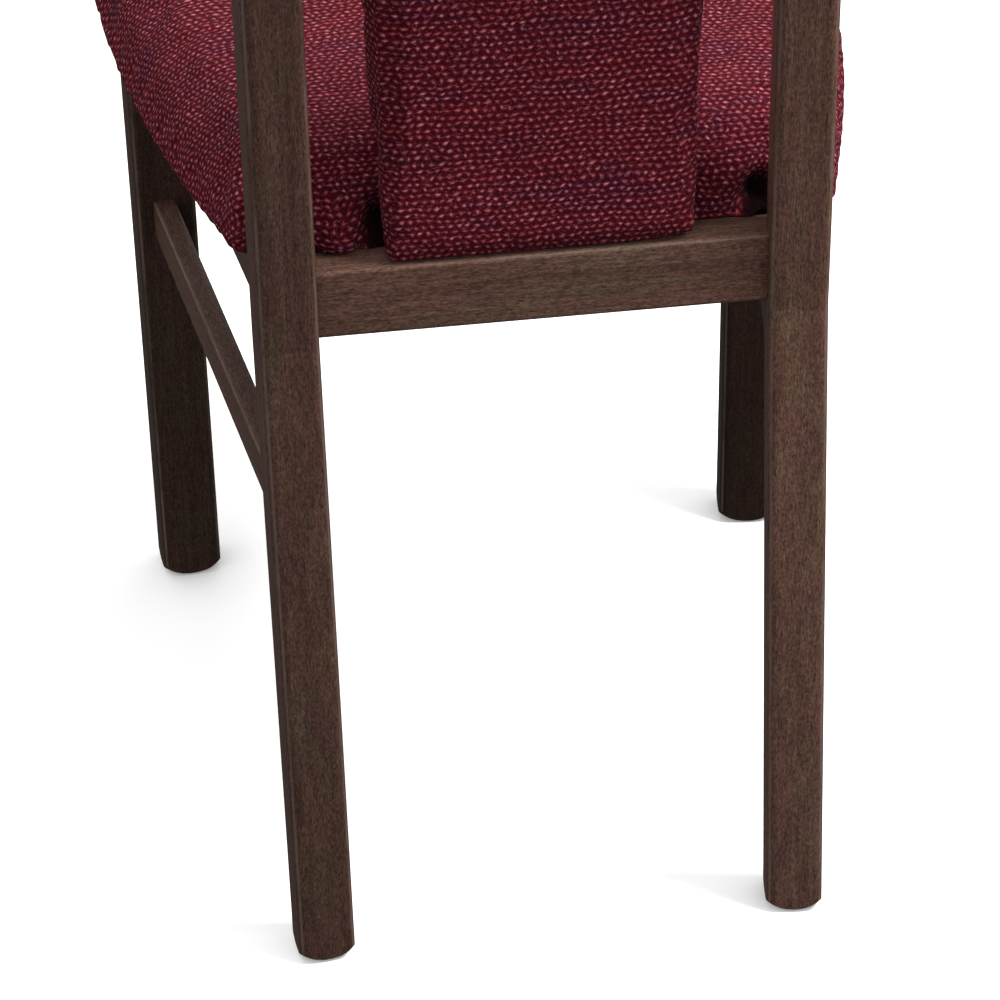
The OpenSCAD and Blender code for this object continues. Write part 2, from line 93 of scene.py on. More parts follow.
PANEL_LOW, PANEL_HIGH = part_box("back_cover")
PANEL_HALF = PANEL_HIGH.x
PANEL_BASE = PANEL_LOW.z
PANEL_TOP = 794 * MM
PANEL_THIN = 18 * MM                 # thickness below PANEL_STEP
PANEL_THICK = 45 * MM                # thickness above it, with the front pad
PANEL_STEP = 498 * MM
PANEL_CORNER = 6 * MM
PANEL_VOXEL = 3.5 * MM
PANEL_BASE_RADIUS = 2 * MM           # rounding of its bottom end
PANEL_END_RADIUS = 6 * MM            # rounding of its top end
PANEL_SHRINK = 0.8 * MM              # drawn in before it swells
PANEL_RINGS = 120
PANEL_HELD = 6 * MM                  # length of each end that the simulation leaves alone
PANEL_SWELL_FRONT = 5 * MM           # the most that the simulation may move a point
PANEL_SWELL_REAR = 1.6 * MM
PANEL_CROWN_FRONT = 6 * MM
PANEL_CROWN_REAR = 1.6 * MM
PANEL_FOOT_OUT = 3.2 * MM            # how far its lower end stands out
PANEL_CORNER_LIFT = 3 * MM           # its lower right corner hangs a little short
PANEL_END_RUN = 60 * MM              # length over which the crown fades at each end

SWELL_PRESSURE = 4.0
SWELL_STRETCH = 0.02                 # how much larger the cloth is than the form it fills
SWELL_FRAMES = 20

ROW_PITCH = 3.75 * MM                # weave: distance between rows of knuckles
KNUCKLE_PITCH = 4.7 * MM             # weave: distance between knuckles along a row

SHEET_INSET = 29 * MM                # dust sheet, from the seat's outline
SHEET_RINGS = 14
SHEET_SAG = 1.2 * MM
SHEET_THICK = 0.3 * MM

STAIN = 0.77                         # how much of the stain's full brightness the timbers keep
SURROUND_HIGH = 1.25                 # brightness of the surround above the chair and below it
SURROUND_LOW = 0.10
FLOOR_GLOW = 0.13                    # keeps the shadows on the floor pale
FLOOR_HALF = 30                      # half the width of the floor
LIGHT_AIM = Vector((0, 0, 0.4))      # the spot in the seat that the key light faces
FOOT_SHADE = 0.80                    # painted shade: brightness of the timbers at the floor
FOOT_SHADE_TOP = 380 * MM            # height from which it is full


# ---------- camera, light and floor ----------

def make_camera():
    """The camera stands behind the chair, a little to the left, and looks down at the seat."""
    data = bpy.data.cameras.new("camera")
    data.lens = 132.7
    data.sensor_width = 36
    data.shift_x = -0.04
    data.shift_y = -0.05
    camera = bpy.data.objects.new("camera", data)
    bpy.context.scene.collection.objects.link(camera)
    right = Vector((-0.988896, 0.148362, -0.008608))
    up = Vector((-0.089972, -0.551589, 0.829249))
    back = right.cross(up)
    turn = Matrix((right, up, back)).transposed().to_4x4()
    place = Matrix.Translation((0.241952, 1.826237, 1.433918))
    camera.matrix_world = place @ turn
    bpy.context.scene.camera = camera


def make_light(name, azimuth, elevation, distance, size, power):
    """A square soft light aimed at the seat. Azimuth 0 is in front of the chair, 90 at its left."""
    data = bpy.data.lights.new(name, "AREA")
    data.shape = "SQUARE"
    data.size = size
    data.energy = power
    light = bpy.data.objects.new(name, data)
    bpy.context.scene.collection.objects.link(light)
    a, e = math.radians(azimuth), math.radians(elevation)
    away = Vector((math.sin(a) * math.cos(e), -math.cos(a) * math.cos(e), math.sin(e)))
    light.location = LIGHT_AIM + away * distance
    light.rotation_mode = "QUATERNION"
    light.rotation_quaternion = away.to_track_quat("Z", "Y")


def make_studio():
    """A surround bright above and dim below, one soft key light on the right, and a pale floor."""
    scene = bpy.context.scene
    scene.view_settings.view_transform = "Standard"
    scene.view_settings.look = "None"
    world = bpy.data.worlds.new("surround")
    scene.world = world
    world.use_nodes = True
    nodes, links = world.node_tree.nodes, world.node_tree.links
    toward = nodes.new("ShaderNodeTexCoord")
    height = nodes.new("ShaderNodeSeparateXYZ")
    links.new(toward.outputs["Generated"], height.inputs[0])
    glow = nodes.new("ShaderNodeMapRange")
    glow.interpolation_type = "SMOOTHSTEP"
    for socket, value in zip(list(glow.inputs)[1:5], (-0.25, 0.45, SURROUND_LOW, SURROUND_HIGH)):
        socket.default_value = value
    links.new(height.outputs["Z"], glow.inputs[0])
    background = nodes["Background"]
    background.inputs["Color"].default_value = (1, 1, 1, 1)
    links.new(glow.outputs[0], background.inputs["Strength"])
    make_light("key", azimuth=250, elevation=52, distance=2.6, size=0.7, power=84)
    size = FLOOR_HALF
    floor = new_object("floor", [(-size, -size, 0), (size, -size, 0), (size, size, 0),
                                 (-size, size, 0)], [(0, 1, 2, 3)])
    floor.visible_diffuse = False
    floor.visible_glossy = False
    graph = Graph("pale_floor", (0.96, 0.96, 0.96), 0.9)
    cloud = graph.noise(graph.place(), 1.5, 2)
    graph.colour(graph.mix(cloud, (0.955, 0.955, 0.955), (0.975, 0.975, 0.97)))
    graph.set("Emission Color", (1, 1, 1, 1))
    graph.set("Emission Strength", FLOOR_GLOW)
    floor.data.materials.append(graph.material)


# ---------- helpers for meshes ----------

def new_object(name, points, faces):
    mesh = bpy.data.meshes.new(name)
    mesh.from_pydata([tuple(p) for p in points], [], faces)
    mesh.update()
    obj = bpy.data.objects.new(name, mesh)
    bpy.context.scene.collection.objects.link(obj)
    return obj


def loft(name, rings):
    """A closed solid through rings of points that all have the same count, with flat ends."""
    count = len(rings[0])
    points = [p for ring in rings for p in ring]
    faces = [tuple(range(count))[::-1]]
    for j in range(len(rings) - 1):
        for k in range(count):
            a, b = j * count + k, j * count + (k + 1) % count
            faces.append((a, b, b + count, a + count))
    last = (len(rings) - 1) * count
    faces.append(tuple(range(last, last + count)))
    return new_object(name, points, faces)


def bake_modifiers(obj):
    """Replaces the object's mesh with what its modifiers make of it, and drops them."""
    graph = bpy.context.evaluated_depsgraph_get()
    graph.update()
    made = bpy.data.meshes.new_from_object(obj.evaluated_get(graph), depsgraph=graph)
    obj.modifiers.clear()
    old = obj.data
    obj.data = made
    made.name = obj.name
    bpy.data.meshes.remove(old)


def remesh(obj, voxel):
    modifier = obj.modifiers.new("voxels", "REMESH")
    modifier.mode = "VOXEL"
    modifier.voxel_size = voxel
    bake_modifiers(obj)


def get_points(obj):
    flat = np.empty(3 * len(obj.data.vertices), np.float32)
    obj.data.vertices.foreach_get("co", flat)
    return flat.reshape(-1, 3).astype(float)


def set_points(obj, points):
    obj.data.vertices.foreach_set("co", np.asarray(points, np.float32).ravel())
    obj.data.update()


def subdivide(obj):
    modifier = obj.modifiers.new("rounding", "SUBSURF")
    modifier.levels = 1
    modifier.render_levels = 1


def swell(obj, held, cap):
    """Inflates a closed mesh as cloth. held says which points stay, cap how far each may move."""
    scene = bpy.context.scene
    start = get_points(obj)
    group = obj.vertex_groups.new(name="held")
    group.add([int(i) for i in np.nonzero(held)[0]], 1.0, "REPLACE")
    cloth = obj.modifiers.new("swell", "CLOTH")
    settings = cloth.settings
    settings.quality = 6
    settings.mass = 0.35
    settings.tension_stiffness = 18
    settings.compression_stiffness = 18
    settings.shear_stiffness = 6
    settings.bending_stiffness = 0.6
    settings.shrink_min = -SWELL_STRETCH
    settings.use_pressure = True
    settings.uniform_pressure_force = SWELL_PRESSURE
    settings.vertex_group_mass = "held"
    settings.effector_weights.gravity = 0
    cloth.point_cache.frame_start = 1
    cloth.point_cache.frame_end = SWELL_FRAMES
    for step in range(1, SWELL_FRAMES + 1):
        scene.frame_set(step)
    graph = bpy.context.evaluated_depsgraph_get()
    moved = np.array([v.co for v in obj.evaluated_get(graph).data.vertices], float)
    obj.modifiers.remove(cloth)
    obj.vertex_groups.clear()
    scene.frame_set(1)
    shift = moved - start
    far = np.maximum(np.linalg.norm(shift, axis=1), 1e-9)
    keep = np.minimum(1, cap / far)
    set_points(obj, start + shift * keep[:, None])


def smooth_step(x, low, high):
    t = np.clip((x - low) / (high - low), 0, 1)
    return t * t * (3 - 2 * t)


# ---------- helpers for materials ----------

class Graph:
    """A material's nodes, with short calls that add one and join it up."""

    def __init__(self, name, base, roughness):
        self.material = bpy.data.materials.new(name)
        self.material.use_nodes = True
        self.tree = self.material.node_tree
        self.shader = self.tree.nodes["Principled BSDF"]
        self.set("Base Color", (*base, 1))
        self.set("Roughness", roughness)
        self.material.diffuse_color = (*base, 1)

    def set(self, name, value):
        self.put(self.shader.inputs[name], value)

    def colour(self, value):
        self.set("Base Color", value)

    def put(self, socket, value):
        if isinstance(value, bpy.types.NodeSocket):
            self.tree.links.new(value, socket)
        elif socket.type == "RGBA" and len(value) == 3:
            socket.default_value = (*value, 1)
        else:
            socket.default_value = value

    def add(self, kind, **settings):
        node = self.tree.nodes.new("ShaderNode" + kind)
        for key, value in settings.items():
            setattr(node, key, value)
        return node

    def math(self, operation, a, b=0.0, c=0.0, clamp=False):
        node = self.add("Math", operation=operation, use_clamp=clamp)
        for socket, value in zip(node.inputs, (a, b, c)):
            self.put(socket, value)
        return node.outputs[0]

    def vector_math(self, operation, a, b=(0, 0, 0)):
        node = self.add("VectorMath", operation=operation)
        self.put(node.inputs[0], a)
        self.put(node.inputs[1], b)
        return node.outputs["Value" if operation in ("DOT_PRODUCT", "LENGTH") else "Vector"]

    def scaled(self, vector, x, y, z):
        return self.vector_math("MULTIPLY", vector, (x, y, z))

    def split(self, vector):
        node = self.add("SeparateXYZ")
        self.put(node.inputs[0], vector)
        return node.outputs[0], node.outputs[1], node.outputs[2]

    def join(self, x=0.0, y=0.0, z=0.0):
        node = self.add("CombineXYZ")
        for socket, value in zip(node.inputs, (x, y, z)):
            self.put(socket, value)
        return node.outputs[0]

    def mix(self, factor, a, b, blend="MIX"):
        node = self.add("Mix", data_type="RGBA", blend_type=blend)
        self.put(node.inputs[0], factor)
        self.put(node.inputs[6], a)
        self.put(node.inputs[7], b)
        return node.outputs[2]

    def ramp(self, value, low, high, out_low=0.0, out_high=1.0):
        node = self.add("MapRange", interpolation_type="SMOOTHSTEP")
        for socket, number in zip(node.inputs, (value, low, high, out_low, out_high)):
            self.put(socket, number)
        return node.outputs[0]

    def noise(self, vector, scale, detail=2.0, rough=0.5, distortion=0.0):
        node = self.add("TexNoise")
        self.put(node.inputs["Vector"], vector)
        self.put(node.inputs["Scale"], scale)
        self.put(node.inputs["Detail"], detail)
        self.put(node.inputs["Roughness"], rough)
        self.put(node.inputs["Distortion"], distortion)
        return node.outputs[0]

    def chance(self, vector):
        node = self.add("TexWhiteNoise", noise_dimensions="2D")
        self.put(node.inputs["Vector"], vector)
        return node.outputs["Value"], node.outputs["Color"]

    def place(self):
        return self.add("TexCoord").outputs["Object"]

    def grain(self, axis, seed):
        """Object coordinates turned so that the grain runs along local Z, shifted by the seed."""
        node = self.add("Mapping", vector_type="POINT")
        self.put(node.inputs["Vector"], self.place())
        turn = Vector(axis).rotation_difference(UP).to_euler()
        node.inputs["Rotation"].default_value = turn
        node.inputs["Location"].default_value = (seed * 0.37, seed * 0.61, seed * 0.23)
        return node.outputs[0]

    def edges(self, radius):
        """0 on flat faces, rising towards 1 on edges, and the rounded normal that shows it."""
        bevel = self.add("Bevel", samples=4)
        bevel.inputs["Radius"].default_value = radius
        flat = self.add("NewGeometry").outputs["Normal"]
        agree = self.vector_math("DOT_PRODUCT", bevel.outputs[0], flat)
        return self.ramp(agree, 0.999, 0.9, 0.0, 1.0), bevel.outputs[0]

    def arris(self, axis, turn):
        """1 where the surface faces half way between two faces of a timber, 0 on its faces."""
        if abs(axis[2]) > 0.5:
            first = (math.cos(turn), math.sin(turn), 0)
            second = (-math.sin(turn), math.cos(turn), 0)
        else:
            first = (0, 0, 1)
            second = tuple(Vector(axis).cross(UP).normalized())
        facing = self.add("NewGeometry").outputs["Normal"]
        a = self.vector_math("DOT_PRODUCT", facing, first)
        b = self.vector_math("DOT_PRODUCT", facing, second)
        both = self.math("ABSOLUTE", self.math("MULTIPLY", a, b))
        return self.math("MULTIPLY", both, 2.0)

    def bump(self, height, strength, distance, normal=None):
        node = self.add("Bump")
        node.inputs["Strength"].default_value = strength
        node.inputs["Distance"].default_value = distance
        self.put(node.inputs["Height"], height)
        if normal is not None:
            self.put(node.inputs["Normal"], normal)
        self.set("Normal", node.outputs[0])
        return node.outputs[0]


# ---------- timber ----------

def stained_wood(name, axis, seed, depth=1.0, turn=0.0):
    """Dark walnut stain on close-grained timber with hardly any shine, paler on its edges, where the
    stain wears thin and a highlight is painted in.

    depth is painted light and shade: this timber is drawn lighter or darker as light falls on it; turn
    how far it is turned about the grain.
    """
    graph = Graph(name, (0.085, 0.045, 0.034), 0.5)
    place = graph.grain(axis, seed)
    clouds = graph.noise(graph.scaled(place, 34, 34, 9), 1, 3, 0.6)
    blush = graph.noise(graph.scaled(place, 60, 60, 22), 1, 2, 0.6)
    streak = graph.noise(graph.scaled(place, 420, 420, 9), 1, 4, 0.65, 0.3)
    fine = graph.noise(graph.scaled(place, 1300, 1300, 75), 1, 3, 0.75)
    speck = graph.noise(graph.scaled(place, 900, 900, 420), 1, 3, 0.7)
    pore = graph.ramp(graph.noise(graph.scaled(place, 1700, 1700, 170), 1, 1, 0.5), 0.60, 0.70)
    rings = graph.noise(graph.scaled(place, 110, 110, 2.5), 1, 3, 0.55, 0.6)

    brown = graph.mix(graph.ramp(clouds, 0.35, 0.65), (0.110, 0.055, 0.038), (0.110, 0.067, 0.045))
    red = graph.mix(graph.ramp(blush, 0.42, 0.62), brown, (0.112, 0.055, 0.043))
    ring = graph.mix(0.3, red, (0.045, 0.021, 0.015))
    banded = graph.mix(graph.ramp(rings, 0.42, 0.6), red, ring)
    value = graph.ramp(streak, 0.3, 0.7, 0.86, 1.14)
    value = graph.math("MULTIPLY", value, graph.ramp(fine, 0.3, 0.7, 0.74, 1.28))
    value = graph.math("MULTIPLY", value, graph.ramp(speck, 0.32, 0.68, 0.62, 1.42))
    height = graph.split(graph.add("NewGeometry").outputs["Position"])[2]
    # Painted shade: the timbers are drawn darker towards the floor.
    value = graph.math("MULTIPLY", value, graph.ramp(height, 0, FOOT_SHADE_TOP, FOOT_SHADE, 1.0))
    # Painted light and shade: each timber's own brightness.
    value = graph.math("MULTIPLY", value, depth * STAIN)
    tone = graph.mix(1.0, banded, graph.join(value, value, value), "MULTIPLY")
    tone = graph.mix(graph.math("MULTIPLY", pore, 0.7), tone, (0.014, 0.008, 0.006))

    # Paler edges: painted highlight, together with stain that wears thin there.
    edge, soft = graph.edges(1.2 * MM)
    arris_wear_and_highlight = graph.math("MULTIPLY", graph.ramp(graph.arris(axis, turn), 0.86, 0.99), 0.55)
    patchy = graph.ramp(blush, 0.3, 0.6, 0.15, 0.9)
    rub_and_highlight = graph.math("MULTIPLY", graph.math("MAXIMUM", edge, arris_wear_and_highlight), patchy)
    tone = graph.mix(rub_and_highlight, tone, (0.165, 0.122, 0.100))
    graph.colour(tone)
    graph.set("Roughness", graph.ramp(streak, 0.25, 0.75, 0.42, 0.6))
    graph.set("Specular IOR Level", 0.14)
    relief = graph.math("SUBTRACT", graph.math("MULTIPLY", fine, 0.5), pore)
    graph.bump(relief, 0.4, 0.12 * MM, soft)
    return graph.material


def plain_wood(name, axis, seed):
    """Pale unfinished beech, with its short dark flecks."""
    graph = Graph(name, (0.52, 0.36, 0.21), 0.6)
    place = graph.grain(axis, seed)
    clouds = graph.noise(graph.scaled(place, 90, 90, 12), 1, 3, 0.6)
    fleck = graph.ramp(graph.noise(graph.scaled(place, 1300, 1300, 240), 1, 1), 0.62, 0.7)
    tone = graph.mix(graph.ramp(clouds, 0.3, 0.7), (0.56, 0.40, 0.24), (0.42, 0.27, 0.15))
    graph.colour(graph.mix(graph.math("MULTIPLY", fleck, 0.6), tone, (0.22, 0.12, 0.06)))
    graph.set("Roughness", graph.ramp(clouds, 0.2, 0.8, 0.55, 0.7))
    graph.bump(graph.math("SUBTRACT", clouds, fleck), 0.3, 0.1 * MM)
    return graph.material


def plywood(name):
    """Birch plywood: faces with a long grain and edges with alternate light and dark plies."""
    graph = Graph(name, (0.55, 0.4, 0.24), 0.62)
    place = graph.place()
    face = graph.noise(graph.scaled(place, 18, 260, 260), 1, 4, 0.6)
    ply = graph.math("PINGPONG", graph.split(place)[2], 1.5 * MM)
    dark = graph.ramp(ply, 0.5 * MM, 0.9 * MM)
    tone = graph.mix(graph.ramp(face, 0.3, 0.7), (0.6, 0.45, 0.28), (0.46, 0.32, 0.19))
    graph.colour(graph.mix(graph.math("MULTIPLY", dark, 0.35), tone, (0.28, 0.17, 0.09)))
    graph.set("Roughness", graph.ramp(face, 0.2, 0.8, 0.55, 0.72))
    graph.bump(face, 0.3, 0.15 * MM)
    return graph.material


def zinc_steel(name):
    """Bright zinc plating with faint turning marks and dull patches."""
    graph = Graph(name, (0.62, 0.63, 0.65), 0.3)
    graph.set("Metallic", 1.0)
    place = graph.place()
    dull = graph.noise(place, 260, 3, 0.6)
    marks = graph.noise(graph.scaled(place, 300, 300, 5200), 1, 2)
    graph.colour(graph.mix(graph.ramp(dull, 0.35, 0.65), (0.66, 0.67, 0.69), (0.5, 0.5, 0.5)))
    graph.set("Roughness", graph.ramp(dull, 0.3, 0.7, 0.22, 0.46))
    graph.bump(marks, 0.2, 0.05 * MM)
    return graph.material


def moulded_nylon(name):
    """Dark brown nylon, scuffed underneath."""
    graph = Graph(name, (0.03, 0.022, 0.018), 0.42)
    place = graph.place()
    scuff = graph.ramp(graph.noise(graph.scaled(place, 900, 200, 400), 1, 3, 0.7), 0.5, 0.75)
    grainy = graph.noise(place, 2600, 2)
    graph.colour(graph.mix(scuff, (0.028, 0.02, 0.016), (0.09, 0.078, 0.068)))
    graph.set("Roughness", graph.ramp(scuff, 0.0, 1.0, 0.38, 0.7))
    graph.bump(grainy, 0.3, 0.05 * MM)
    return graph.material


def dust_cloth(name):
    """Thin black spun cloth with tangled fibres."""
    graph = Graph(name, (0.018, 0.018, 0.02), 0.9)
    place = graph.place()
    fibre = graph.noise(graph.scaled(place, 500, 1500, 500), 1, 4, 0.75, 1.2)
    tangle = graph.noise(graph.scaled(place, 1500, 500, 500), 1, 4, 0.75, 1.2)
    web = graph.math("MAXIMUM", fibre, tangle)
    graph.colour(graph.mix(graph.ramp(web, 0.45, 0.75), (0.011, 0.011, 0.013), (0.05, 0.05, 0.054)))
    graph.set("Roughness", graph.ramp(web, 0.3, 0.8, 0.8, 0.95))
    graph.bump(web, 0.5, 0.2 * MM)
    return graph.material


# ---------- woven cloth ----------

def red_weave(name):
    """Chunky space-dyed weave: staggered rows of knuckles with painted pink highlights over dark red,
    painted shade between them, and wine patches.
    """
    graph = Graph(name, (0.10, 0.012, 0.02), 0.85)
    place = graph.add("UVMap", uv_map="weave").outputs[0]
    u, v, _ = graph.split(place)
    sway = graph.noise(graph.scaled(place, 22, 40, 1), 1, 2)
    drift = graph.noise(graph.scaled(place, 70, 110, 1), 1, 2)

    rows = graph.math("DIVIDE", v, ROW_PITCH)
    rows = graph.math("ADD", rows, graph.math("MULTIPLY", sway, 1.6))
    rows = graph.math("ADD", rows, graph.math("MULTIPLY", drift, 0.7))
    row = graph.math("FLOOR", rows)
    q = graph.math("SUBTRACT", graph.math("FRACT", rows), 0.5)

    row_luck, _ = graph.chance(graph.join(row, 3.7))
    stagger = graph.math("MULTIPLY", graph.math("MODULO", row, 2.0), 0.5)
    along = graph.math("DIVIDE", u, KNUCKLE_PITCH)
    along = graph.math("ADD", along, stagger)
    along = graph.math("ADD", along, graph.math("MULTIPLY", row_luck, 0.22))
    along_row = graph.join(graph.math("MULTIPLY", u, 90), graph.math("MULTIPLY", row, 0.7))
    wander = graph.noise(along_row, 1, 1)
    along = graph.math("ADD", along, graph.math("MULTIPLY", wander, 1.1))
    cell = graph.math("FLOOR", along)
    p = graph.math("SUBTRACT", graph.math("FRACT", along), 0.5)
    luck, lucks = graph.chance(graph.join(cell, row))
    _, luck_two, luck_three = graph.split(lucks)

    # Each stitch of the thick yarn is a little arch; together they leave a net of dark diagonals,
    # darkened with painted shade.
    fibre = graph.noise(graph.scaled(place, 900, 1500, 1), 1, 4, 0.75, 0.6)
    fuzz = graph.math("SUBTRACT", fibre, 0.5)
    arched = graph.math("MULTIPLY_ADD", graph.math("MULTIPLY", p, p), -0.7, q)
    arched = graph.math("ADD", arched, graph.ramp(luck, 0, 1, 0.0, 0.18))
    lean = graph.math("MULTIPLY", graph.math("SUBTRACT", luck_two, 0.5), 0.9)
    arched = graph.math("ADD", arched, graph.math("MULTIPLY", p, lean))
    stitch = graph.math("ADD", graph.math("DIVIDE", graph.math("ABSOLUTE", p), 0.62),
                        graph.math("DIVIDE", graph.math("ABSOLUTE", arched), 0.55))
    stitch = graph.math("SUBTRACT", 1.0, graph.math("POWER", stitch, 1.5), clamp=True)

    # The top of the stitch is a short knuckle with a painted highlight.
    reach = graph.ramp(luck_two, 0, 1, 0.12, 0.29)
    rise = graph.ramp(luck_three, 0, 1, 0.11, 0.20)
    far_p = graph.math("POWER", graph.math("ABSOLUTE", graph.math("DIVIDE", p, reach)), 2)
    far_q = graph.math("POWER", graph.math("ABSOLUTE", graph.math("DIVIDE", arched, rise)), 2)
    knuckle = graph.math("ADD", far_p, far_q)
    knuckle = graph.math("POWER", 2.718, graph.math("MULTIPLY", knuckle, -0.9))

    height = graph.math("MULTIPLY_ADD", knuckle, 0.55, graph.math("MULTIPLY", stitch, 0.6))
    fuzzy = graph.math("MULTIPLY_ADD", fuzz, 2.3, height)

    # The dye changes slowly along each yarn, and neighbouring yarns share it in patches.
    along_yarn = graph.join(graph.math("MULTIPLY", u, 30), graph.math("MULTIPLY", row, 0.55))
    dye = graph.noise(along_yarn, 1, 3, 0.6)
    patch = graph.noise(graph.scaled(place, 16, 42, 1), 1, 3, 0.55)
    hue = graph.math("ADD", graph.math("MULTIPLY", dye, 0.5), graph.math("MULTIPLY", patch, 0.5))
    wine, crimson, scarlet = (0.135, 0.005, 0.032), (0.190, 0.005, 0.019), (0.255, 0.008, 0.019)
    yarn = graph.mix(graph.ramp(hue, 0.40, 0.49), wine, crimson)
    yarn = graph.mix(graph.ramp(hue, 0.53, 0.64), yarn, scarlet)
    pale = graph.mix(0.80, yarn, (1.0, 0.37, 0.42))
    lit = graph.math("POWER", luck_three, 1.8)
    bright = graph.ramp(lit, 0.0, 1.0, 0.20, 1.0)
    crest = graph.ramp(graph.math("MULTIPLY_ADD", fuzz, 1.6, knuckle), 0.3, 1.15)
    # Painted shade in the low parts of the weave, painted sheen on its high parts.
    deep = graph.mix(0.88, yarn, (0.014, 0.0004, 0.0012))
    tone = graph.mix(graph.ramp(fuzzy, -0.1, 0.55), deep, yarn)
    sheen = graph.math("MULTIPLY", graph.ramp(fuzzy, 0.25, 0.8), 0.20)
    tone = graph.mix(sheen, tone, pale)
    # Loose threads catch the light between the knuckles. The hollows of the seat's rear edge get
    # painted shade, near black.
    thread = graph.noise(graph.scaled(place, 460, 820, 1), 1, 2, 0.6, 0.4)
    fleck = graph.math("MULTIPLY", graph.ramp(thread, 0.56, 0.74), 0.28)
    knuckle_highlight = graph.math("MAXIMUM", graph.math("MULTIPLY", bright, crest), fleck)
    tone = graph.mix(knuckle_highlight, tone, pale)
    hollow_painted_shade = graph.add("Attribute", attribute_name="hollow_painted_shade").outputs["Fac"]
    graph.colour(graph.mix(hollow_painted_shade, tone, (0.003, 0.0005, 0.001)))
    graph.set("Roughness", graph.ramp(fuzzy, 0.2, 1.2, 0.95, 0.72))
    graph.set("Specular IOR Level", 0.06)
    graph.set("Sheen Weight", 0.04)
    graph.set("Sheen Roughness", 0.5)
    graph.set("Sheen Tint", (0.85, 0.35, 0.42, 1))
    graph.bump(fuzzy, 0.9, 1.1 * MM)
    return graph.material


# ---------- seat cushion ----------

def seat_half(y):
    share = (SEAT_REAR - y) / (SEAT_REAR - SEAT_FRONT)
    return SEAT_HALF_REAR + (SEAT_HALF_FRONT - SEAT_HALF_REAR) * (1 - (1 - share) ** 2)


def seat_outline(inset, steps=16):
    """The seat's outline drawn in by inset, clockwise from the middle of the back."""
    rear_r = max(SEAT_REAR_CORNER - inset, 3 * MM)
    front_r = max(SEAT_FRONT_CORNER - inset, 5 * MM)
    rear_y = SEAT_REAR - inset - rear_r
    front_y = SEAT_FRONT + inset + front_r
    rear_x = seat_half(rear_y) - inset - rear_r
    front_x = seat_half(front_y) - inset - front_r
    half = [(0, SEAT_REAR - inset)]
    for k in range(steps + 1):
        a = math.radians(90 - 90 * k / steps)
        half.append((rear_x + rear_r * math.cos(a), rear_y + rear_r * math.sin(a)))
    for k in range(1, 2 * steps):
        y = rear_y + (front_y - rear_y) * k / (2 * steps)
        half.append((seat_half(y) - inset, y))
    for k in range(steps + 1):
        a = math.radians(-90 * k / steps)
        half.append((front_x + front_r * math.cos(a), front_y + front_r * math.sin(a)))
    for k in range(1, steps + 1):
        x = front_x * (1 - k / steps)
        half.append((x, SEAT_FRONT + inset - SEAT_BOW * (1 - (x / front_x) ** 2)))
    return half + [(-x, y) for x, y in half[-2:0:-1]]


def seat_levels(shrink):
    """Height and inset of each level, from the underside to the crown."""
    levels = [(RAIL_TOP, -0.5 * MM), (RAIL_TOP + 3 * MM, -1 * MM), (RAIL_TOP + 9 * MM, -1 * MM)]
    levels += [(RAIL_TOP + 17 * MM, shrink / 2)]
    for k in range(13):
        a = math.radians(90 * k / 12)
        levels.append((RAIL_TOP + SEAT_SIDE + (SEAT_ROLL - shrink) * math.sin(a),
                       shrink + SEAT_ROLL_IN * (1 - math.cos(a))))
    return levels


def nearest_on_loop(points, loop):
    """For each point in plan, the nearest point of a closed loop, and whether it is inside."""
    a = np.array(loop)
    b = np.roll(a, -1, axis=0)
    edge = b - a
    length = (edge ** 2).sum(1)
    best = np.full(len(points), 1e9)
    near = np.zeros((len(points), 2))
    inside = np.zeros(len(points), bool)
    for k in range(len(a)):
        t = np.clip(((points - a[k]) @ edge[k]) / max(length[k], 1e-12), 0, 1)
        spot = a[k] + t[:, None] * edge[k]
        far = np.linalg.norm(points - spot, axis=1)
        closer = far < best
        best[closer] = far[closer]
        near[closer] = spot[closer]
        crosses = (a[k][1] > points[:, 1]) != (b[k][1] > points[:, 1])
        at = a[k][0] + (points[:, 1] - a[k][1]) * edge[k][0] / (edge[k][1] or 1e-12)
        inside ^= crosses & (points[:, 0] < at)
    return near, best, inside


def seat_weave(points):
    """Weave coordinates: the cloth lies flat on top and runs straight down over every side."""
    core = seat_outline(SEAT_ROLL_IN)
    near, far, inside = nearest_on_loop(points[:, :2], core)
    away = points[:, :2] - near
    away /= np.maximum(np.linalg.norm(away, axis=1), 1e-9)[:, None]
    angles = np.radians(np.linspace(90, 0, 46))
    reach = SEAT_ROLL_IN * np.cos(angles)
    drop = SEAT_ROLL * np.sin(angles)
    steps = np.hypot(np.diff(reach), np.diff(drop))
    run = np.concatenate([[0], np.cumsum(steps)])
    roll_z = RAIL_TOP + SEAT_SIDE
    angle = np.arctan2(np.maximum(points[:, 2] - roll_z, 0) / SEAT_ROLL, far / SEAT_ROLL_IN)
    length = np.interp(-angle, -angles, run)
    below = np.clip(roll_z - points[:, 2], 0, SEAT_SIDE)
    under = (points[:, 2] < RAIL_TOP + 2 * MM) & ~inside
    length = length + below + np.where(under, SEAT_ROLL_IN - far, 0)
    weave = near + away * length[:, None]
    weave[inside] = points[inside, :2]
    return weave


def set_weave(obj, weave):
    """Writes weave coordinates, one per point or one per face corner, as a UV map in metres."""
    layer = obj.data.uv_layers.new(name="weave")
    if len(weave) == len(obj.data.vertices):
        index = np.empty(len(obj.data.loops), np.int32)
        obj.data.loops.foreach_get("vertex_index", index)
        weave = weave[index]
    layer.data.foreach_set("uv", np.asarray(weave, np.float32).ravel())


def stretch_down(points, floor, depth):
    """Stretches the lowest part of a mesh so that its lowest points lie at the given height."""
    lowest = points[:, 2].min()
    share = np.clip((floor + depth - points[:, 2]) / (floor + depth - lowest), 0, 1)
    points[:, 2] -= share * (lowest - floor)


